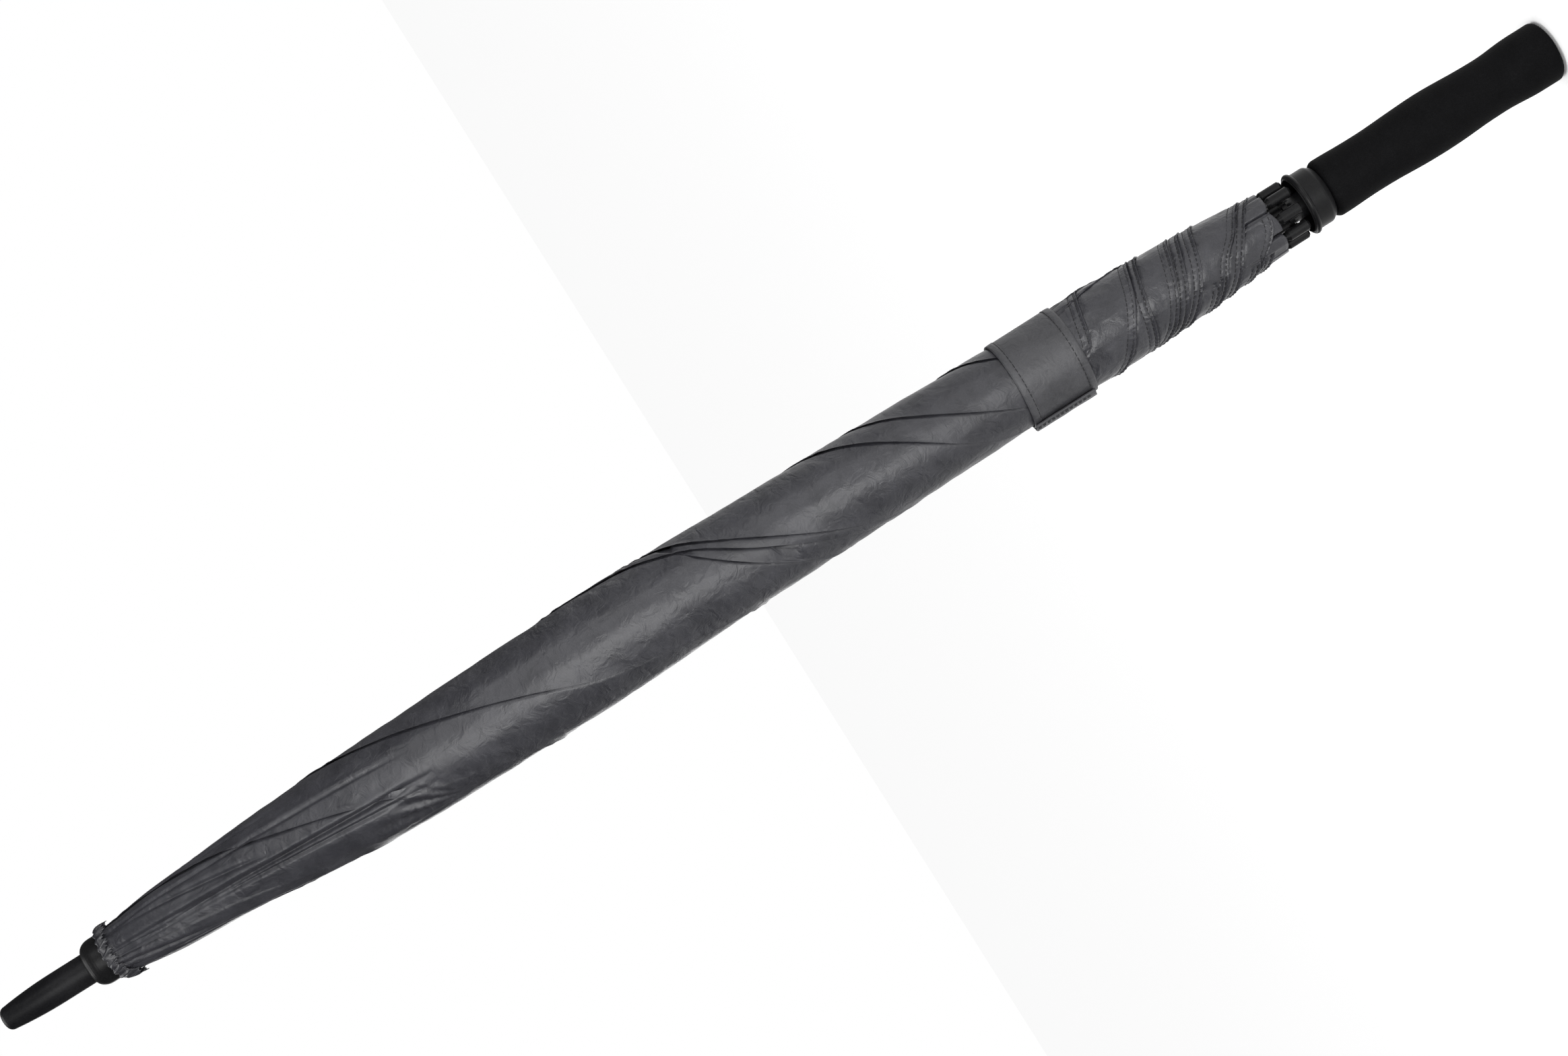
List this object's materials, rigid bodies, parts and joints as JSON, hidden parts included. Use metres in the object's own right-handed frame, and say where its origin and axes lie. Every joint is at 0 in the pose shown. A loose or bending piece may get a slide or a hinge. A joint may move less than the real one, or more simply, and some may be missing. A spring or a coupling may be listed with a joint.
{
  "type": "golf umbrella",
  "caption": "Closed golf umbrella with a straight foam grip, wrapped dark canopy and strap; the runner slides up the shaft to spread ribs, stretchers and canopy.",
  "frame": {"origin": "centre of the handle's flat end face", "axes": "+Z along the shaft towards the ferrule's tip; +X is the first rib's side, less 3 degrees"},
  "size_m": [0.06, 0.06, 1],
  "materials": {
    "shaft_black": "satin black resin and glass-fibre tube",
    "moulded_black": "satin moulded black plastic",
    "foam_black": "fine closed-cell EVA foam, matt",
    "canopy_cloth": "charcoal polyester pongee, fine weave, soft sheen",
    "strap_cloth": "charcoal polyester strap with stitched edges",
    "rib_fibre": "smooth dark glass-fibre rod",
    "spring_steel": "bright spring wire",
    "button_plastic": "grey moulded plastic"
  },
  "bodies": {
    "root": {"shaft_tube": "shaft_black", "ferrule": "moulded_black", "collar_cap": "moulded_black", "rosette": "canopy_cloth", "top_notch": "moulded_black", "notch_wire": "spring_steel", "tip_cup": "moulded_black", "handle_core": "moulded_black", "handle_grip": "foam_black", "end_plug": "moulded_black", "upper_spring": "spring_steel", "lower_spring": "spring_steel"},
    "runner": {"runner_sleeve": "moulded_black"},
    "button": {"runner_button": "button_plastic"},
    "rib_1": {"rib_1": "rib_fibre", "rib_tip_1": "moulded_black", "rib_joint_1": "moulded_black"},
    "rib_2": {"rib_2": "rib_fibre", "rib_tip_2": "moulded_black", "rib_joint_2": "moulded_black"},
    "rib_3": {"rib_3": "rib_fibre", "rib_tip_3": "moulded_black", "rib_joint_3": "moulded_black"},
    "rib_4": {"rib_4": "rib_fibre", "rib_tip_4": "moulded_black", "rib_joint_4": "moulded_black"},
    "rib_5": {"rib_5": "rib_fibre", "rib_tip_5": "moulded_black", "rib_joint_5": "moulded_black"},
    "rib_6": {"rib_6": "rib_fibre", "rib_tip_6": "moulded_black", "rib_joint_6": "moulded_black"},
    "rib_7": {"rib_7": "rib_fibre", "rib_tip_7": "moulded_black", "rib_joint_7": "moulded_black"},
    "rib_8": {"rib_8": "rib_fibre", "rib_tip_8": "moulded_black", "rib_joint_8": "moulded_black"},
    "stretcher_1": {"stretcher_1": "rib_fibre"},
    "stretcher_2": {"stretcher_2": "rib_fibre"},
    "stretcher_3": {"stretcher_3": "rib_fibre"},
    "stretcher_4": {"stretcher_4": "rib_fibre"},
    "stretcher_5": {"stretcher_5": "rib_fibre"},
    "stretcher_6": {"stretcher_6": "rib_fibre"},
    "stretcher_7": {"stretcher_7": "rib_fibre"},
    "stretcher_8": {"stretcher_8": "rib_fibre"},
    "gore_1": {"gore_1": "canopy_cloth"},
    "gore_2": {"gore_2": "canopy_cloth"},
    "gore_3": {"gore_3": "canopy_cloth"},
    "gore_4": {"gore_4": "canopy_cloth"},
    "gore_5": {"gore_5": "canopy_cloth", "strap": "strap_cloth"},
    "gore_6": {"gore_6": "canopy_cloth"},
    "gore_7": {"gore_7": "canopy_cloth"},
    "gore_8": {"gore_8": "canopy_cloth"},
    "strap_tab": {"strap_tab": "strap_cloth"}
  },
  "joints": [
    {"name": "runner_slide", "type": "slide", "parent": "root", "child": "runner", "axis": [0, 0, 1], "range_m": [0, 0.37225]},
    {"name": "button_press", "type": "slide", "parent": "runner", "child": "button", "axis": [0.9426, 0.3338, 0], "range_m": [0, 0.0014], "stiffness_N_per_m": 400},
    {"name": "rib_1_hinge", "type": "hinge", "parent": "root", "child": "rib_1", "pos_m": [0.00999, -0.00052, 0.926], "axis": [-0.0523, -0.9986, 0], "range_deg": [0, 62]},
    {"name": "rib_2_hinge", "type": "hinge", "parent": "root", "child": "rib_2", "pos_m": [0.00743, 0.00669, 0.926], "axis": [0.6691, -0.7431, 0], "range_deg": [0, 62]},
    {"name": "rib_3_hinge", "type": "hinge", "parent": "root", "child": "rib_3", "pos_m": [0.00052, 0.00999, 0.926], "axis": [0.9986, -0.0523, 0], "range_deg": [0, 62]},
    {"name": "rib_4_hinge", "type": "hinge", "parent": "root", "child": "rib_4", "pos_m": [-0.00669, 0.00743, 0.926], "axis": [0.7431, 0.6691, 0], "range_deg": [0, 62]},
    {"name": "rib_5_hinge", "type": "hinge", "parent": "root", "child": "rib_5", "pos_m": [-0.00999, 0.00052, 0.926], "axis": [0.0523, 0.9986, 0], "range_deg": [0, 62]},
    {"name": "rib_6_hinge", "type": "hinge", "parent": "root", "child": "rib_6", "pos_m": [-0.00743, -0.00669, 0.926], "axis": [-0.6691, 0.7431, 0], "range_deg": [0, 62]},
    {"name": "rib_7_hinge", "type": "hinge", "parent": "root", "child": "rib_7", "pos_m": [-0.00052, -0.00999, 0.926], "axis": [-0.9986, 0.0523, 0], "range_deg": [0, 62]},
    {"name": "rib_8_hinge", "type": "hinge", "parent": "root", "child": "rib_8", "pos_m": [0.00669, -0.00743, 0.926], "axis": [-0.7431, -0.6691, 0], "range_deg": [0, 62]},
    {"name": "stretcher_1_hinge", "type": "hinge", "parent": "rib_1", "child": "stretcher_1", "pos_m": [0.01198, -0.00063, 0.5785], "axis": [-0.0523, -0.9986, 0], "range_deg": [-124, 0]},
    {"name": "stretcher_2_hinge", "type": "hinge", "parent": "rib_2", "child": "stretcher_2", "pos_m": [0.00892, 0.00803, 0.5785], "axis": [0.6691, -0.7431, 0], "range_deg": [-124, 0]},
    {"name": "stretcher_3_hinge", "type": "hinge", "parent": "rib_3", "child": "stretcher_3", "pos_m": [0.00063, 0.01198, 0.5785], "axis": [0.9986, -0.0523, 0], "range_deg": [-124, 0]},
    {"name": "stretcher_4_hinge", "type": "hinge", "parent": "rib_4", "child": "stretcher_4", "pos_m": [-0.00803, 0.00892, 0.5785], "axis": [0.7431, 0.6691, 0], "range_deg": [-124, 0]},
    {"name": "stretcher_5_hinge", "type": "hinge", "parent": "rib_5", "child": "stretcher_5", "pos_m": [-0.01198, 0.00063, 0.5785], "axis": [0.0523, 0.9986, 0], "range_deg": [-124, 0]},
    {"name": "stretcher_6_hinge", "type": "hinge", "parent": "rib_6", "child": "stretcher_6", "pos_m": [-0.00892, -0.00803, 0.5785], "axis": [-0.6691, 0.7431, 0], "range_deg": [-124, 0]},
    {"name": "stretcher_7_hinge", "type": "hinge", "parent": "rib_7", "child": "stretcher_7", "pos_m": [-0.00063, -0.01198, 0.5785], "axis": [-0.9986, 0.0523, 0], "range_deg": [-124, 0]},
    {"name": "stretcher_8_hinge", "type": "hinge", "parent": "rib_8", "child": "stretcher_8", "pos_m": [0.00803, -0.00892, 0.5785], "axis": [-0.7431, -0.6691, 0], "range_deg": [-124, 0]},
    {"name": "gore_1_fan", "type": "hinge", "parent": "rib_1", "child": "gore_1", "pos_m": [0.00992, -0.00052, 0.93729], "axis": [0.9905, 0.1371, 0.0061], "range_deg": [0, 39.63]},
    {"name": "gore_2_fan", "type": "hinge", "parent": "rib_2", "child": "gore_2", "pos_m": [0.00738, 0.00664, 0.93729], "axis": [0.6035, 0.7974, 0.0061], "range_deg": [0, 39.63]},
    {"name": "gore_3_fan", "type": "hinge", "parent": "rib_3", "child": "gore_3", "pos_m": [0.00052, 0.00992, 0.93729], "axis": [-0.1371, 0.9905, 0.0061], "range_deg": [0, 39.63]},
    {"name": "gore_4_fan", "type": "hinge", "parent": "rib_4", "child": "gore_4", "pos_m": [-0.00664, 0.00738, 0.93729], "axis": [-0.7974, 0.6035, 0.0061], "range_deg": [0, 39.63]},
    {"name": "gore_5_fan", "type": "hinge", "parent": "rib_5", "child": "gore_5", "pos_m": [-0.00992, 0.00052, 0.93729], "axis": [-0.9905, -0.1371, 0.0061], "range_deg": [0, 39.63], "deforming": ["strap"]},
    {"name": "gore_6_fan", "type": "hinge", "parent": "rib_6", "child": "gore_6", "pos_m": [-0.00738, -0.00664, 0.93729], "axis": [-0.6035, -0.7974, 0.0061], "range_deg": [0, 39.63]},
    {"name": "gore_7_fan", "type": "hinge", "parent": "rib_7", "child": "gore_7", "pos_m": [-0.00052, -0.00992, 0.93729], "axis": [0.1371, -0.9905, 0.0061], "range_deg": [0, 39.63]},
    {"name": "gore_8_fan", "type": "hinge", "parent": "rib_8", "child": "gore_8", "pos_m": [0.00664, -0.00738, 0.93729], "axis": [0.7974, -0.6035, 0.0061], "range_deg": [0, 39.63]},
    {"name": "strap_peel", "type": "hinge", "parent": "gore_5", "child": "strap_tab", "pos_m": [-0.02594, 0.00944, 0.33325], "axis": [0, 0, -1], "range_deg": [0, 75]}
  ],
  "couplings": [
    {"joint": "rib_1_hinge", "follows": "runner_slide", "rad_per_m": 2.9069},
    {"joint": "rib_2_hinge", "follows": "runner_slide", "rad_per_m": 2.9069},
    {"joint": "rib_3_hinge", "follows": "runner_slide", "rad_per_m": 2.9069},
    {"joint": "rib_4_hinge", "follows": "runner_slide", "rad_per_m": 2.9069},
    {"joint": "rib_5_hinge", "follows": "runner_slide", "rad_per_m": 2.9069},
    {"joint": "rib_6_hinge", "follows": "runner_slide", "rad_per_m": 2.9069},
    {"joint": "rib_7_hinge", "follows": "runner_slide", "rad_per_m": 2.9069},
    {"joint": "rib_8_hinge", "follows": "runner_slide", "rad_per_m": 2.9069},
    {"joint": "stretcher_1_hinge", "follows": "runner_slide", "rad_per_m": -5.8139},
    {"joint": "stretcher_2_hinge", "follows": "runner_slide", "rad_per_m": -5.8139},
    {"joint": "stretcher_3_hinge", "follows": "runner_slide", "rad_per_m": -5.8139},
    {"joint": "stretcher_4_hinge", "follows": "runner_slide", "rad_per_m": -5.8139},
    {"joint": "stretcher_5_hinge", "follows": "runner_slide", "rad_per_m": -5.8139},
    {"joint": "stretcher_6_hinge", "follows": "runner_slide", "rad_per_m": -5.8139},
    {"joint": "stretcher_7_hinge", "follows": "runner_slide", "rad_per_m": -5.8139},
    {"joint": "stretcher_8_hinge", "follows": "runner_slide", "rad_per_m": -5.8139},
    {"joint": "gore_1_fan", "follows": "runner_slide", "rad_per_m": 1.8582},
    {"joint": "gore_2_fan", "follows": "runner_slide", "rad_per_m": 1.8582},
    {"joint": "gore_3_fan", "follows": "runner_slide", "rad_per_m": 1.8582},
    {"joint": "gore_4_fan", "follows": "runner_slide", "rad_per_m": 1.8582},
    {"joint": "gore_5_fan", "follows": "runner_slide", "rad_per_m": 1.8582},
    {"joint": "gore_6_fan", "follows": "runner_slide", "rad_per_m": 1.8582},
    {"joint": "gore_7_fan", "follows": "runner_slide", "rad_per_m": 1.8582},
    {"joint": "gore_8_fan", "follows": "runner_slide", "rad_per_m": 1.8582}
  ]
}
